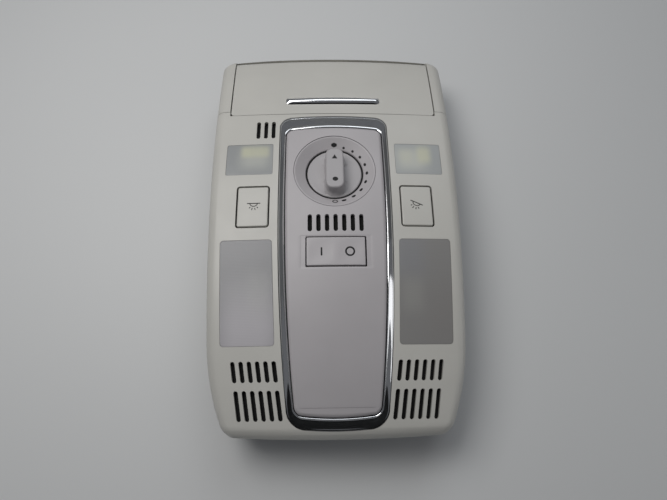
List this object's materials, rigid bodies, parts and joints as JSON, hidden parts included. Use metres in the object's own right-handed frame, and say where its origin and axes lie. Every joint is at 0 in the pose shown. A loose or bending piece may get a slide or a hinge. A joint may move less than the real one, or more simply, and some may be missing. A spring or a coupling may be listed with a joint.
{
  "type": "car dome light",
  "caption": "Overhead console with dome and reading lamps, push buttons, a rotary roof switch, a rocker switch, and a hinged stowage bin behind a flap.",
  "frame": {"origin": "middle of the housing's back, which is the lowest face as it lies on its back", "axes": "+Z out of the show face, down into the cabin when fitted; +Y along the length to the stowage flap; +X across to the side without the short slots"},
  "size_m": [0.161, 0.2672, 0.0692],
  "materials": {
    "trim_plastic": "fine-grained moulded plastic",
    "panel_plastic": "fine-grained moulded plastic",
    "lens_plastic": "frosted translucent plastic",
    "chrome_trim": "bright plating on plastic",
    "black_plastic": "moulded plastic",
    "housing_plastic": "moulded plastic",
    "board": "lacquered circuit board",
    "steel": "plated steel",
    "reflector_plastic": "glossy white plastic",
    "bulb_glass": "clear glass"
  },
  "bodies": {
    "console": {"bezel": "trim_plastic", "front_frame": "trim_plastic", "chrome_surround": "chrome_trim", "centre_panel": "panel_plastic", "dial_dish": "panel_plastic", "rotary_switch": "black_plastic", "rocker_pin": "steel", "rocker_switch": "black_plastic", "left_button_switch": "black_plastic", "right_button_switch": "black_plastic", "left_button_spring": "steel", "right_button_spring": "steel", "left_reading_lens": "lens_plastic", "right_reading_lens": "lens_plastic", "left_courtesy_lens": "lens_plastic", "right_courtesy_lens": "lens_plastic", "left_reading_reflector": "reflector_plastic", "right_reading_reflector": "reflector_plastic", "left_courtesy_reflector": "reflector_plastic", "right_courtesy_reflector": "reflector_plastic", "left_reading_bulb": "bulb_glass", "right_reading_bulb": "bulb_glass", "left_bulb_holder": "black_plastic", "right_bulb_holder": "black_plastic", "left_festoon_bulb": "bulb_glass", "right_festoon_bulb": "bulb_glass", "left_bulb_contacts": "steel", "right_bulb_contacts": "steel", "switch_board": "board", "control_board": "board", "board_link": "black_plastic", "connector_socket": "black_plastic", "connector_pins": "steel", "carrier": "housing_plastic", "spring_clips": "steel", "bezel_screws": "steel", "board_screws": "steel", "left_grille_mesh": "black_plastic", "right_grille_mesh": "black_plastic", "left_motion_sensor": "black_plastic", "right_motion_sensor": "black_plastic", "microphone": "black_plastic", "mic_mesh": "black_plastic", "vent_mesh": "black_plastic", "hinge_rod": "steel", "hinge_spring": "steel", "flap_catch": "black_plastic"},
    "bin": {"bin_flap": "trim_plastic", "flap_strip": "chrome_trim", "stowage_bin": "housing_plastic", "bin_screws": "steel"},
    "plunger": {"switch_plunger": "black_plastic"},
    "knob": {"roof_knob": "panel_plastic", "knob_shaft": "steel"},
    "rocker": {"rocker": "panel_plastic"},
    "left_button": {"left_light_button": "trim_plastic"},
    "right_button": {"right_light_button": "trim_plastic"}
  },
  "joints": [
    {"name": "flap_hinge", "type": "hinge", "parent": "console", "child": "bin", "pos_m": [0, 0.1242, 0.03429], "axis": [-1, 0, 0], "range_deg": [0, 36]},
    {"name": "knob_push", "type": "slide", "parent": "console", "child": "plunger", "axis": [0, -0.0976, -0.9952], "range_m": [0, 0.0015], "stiffness_N_per_m": 1500},
    {"name": "knob_turn", "type": "hinge", "parent": "plunger", "child": "knob", "pos_m": [0, 0.0271, 0.06436], "axis": [0, 0.0976, 0.9952], "range_deg": [-180, 0]},
    {"name": "rocker_tilt", "type": "hinge", "parent": "console", "child": "rocker", "pos_m": [0, -0.0274, 0.06119], "axis": [0, 1, 0], "range_deg": [-4, 4]},
    {"name": "left_button_push", "type": "slide", "parent": "console", "child": "left_button", "axis": [0, 0, -1], "range_m": [0, 0.0015], "stiffness_N_per_m": 1200, "deforming": ["left_button_spring"]},
    {"name": "right_button_push", "type": "slide", "parent": "console", "child": "right_button", "axis": [0, 0, -1], "range_m": [0, 0.0015], "stiffness_N_per_m": 1200, "deforming": ["right_button_spring"]}
  ]
}
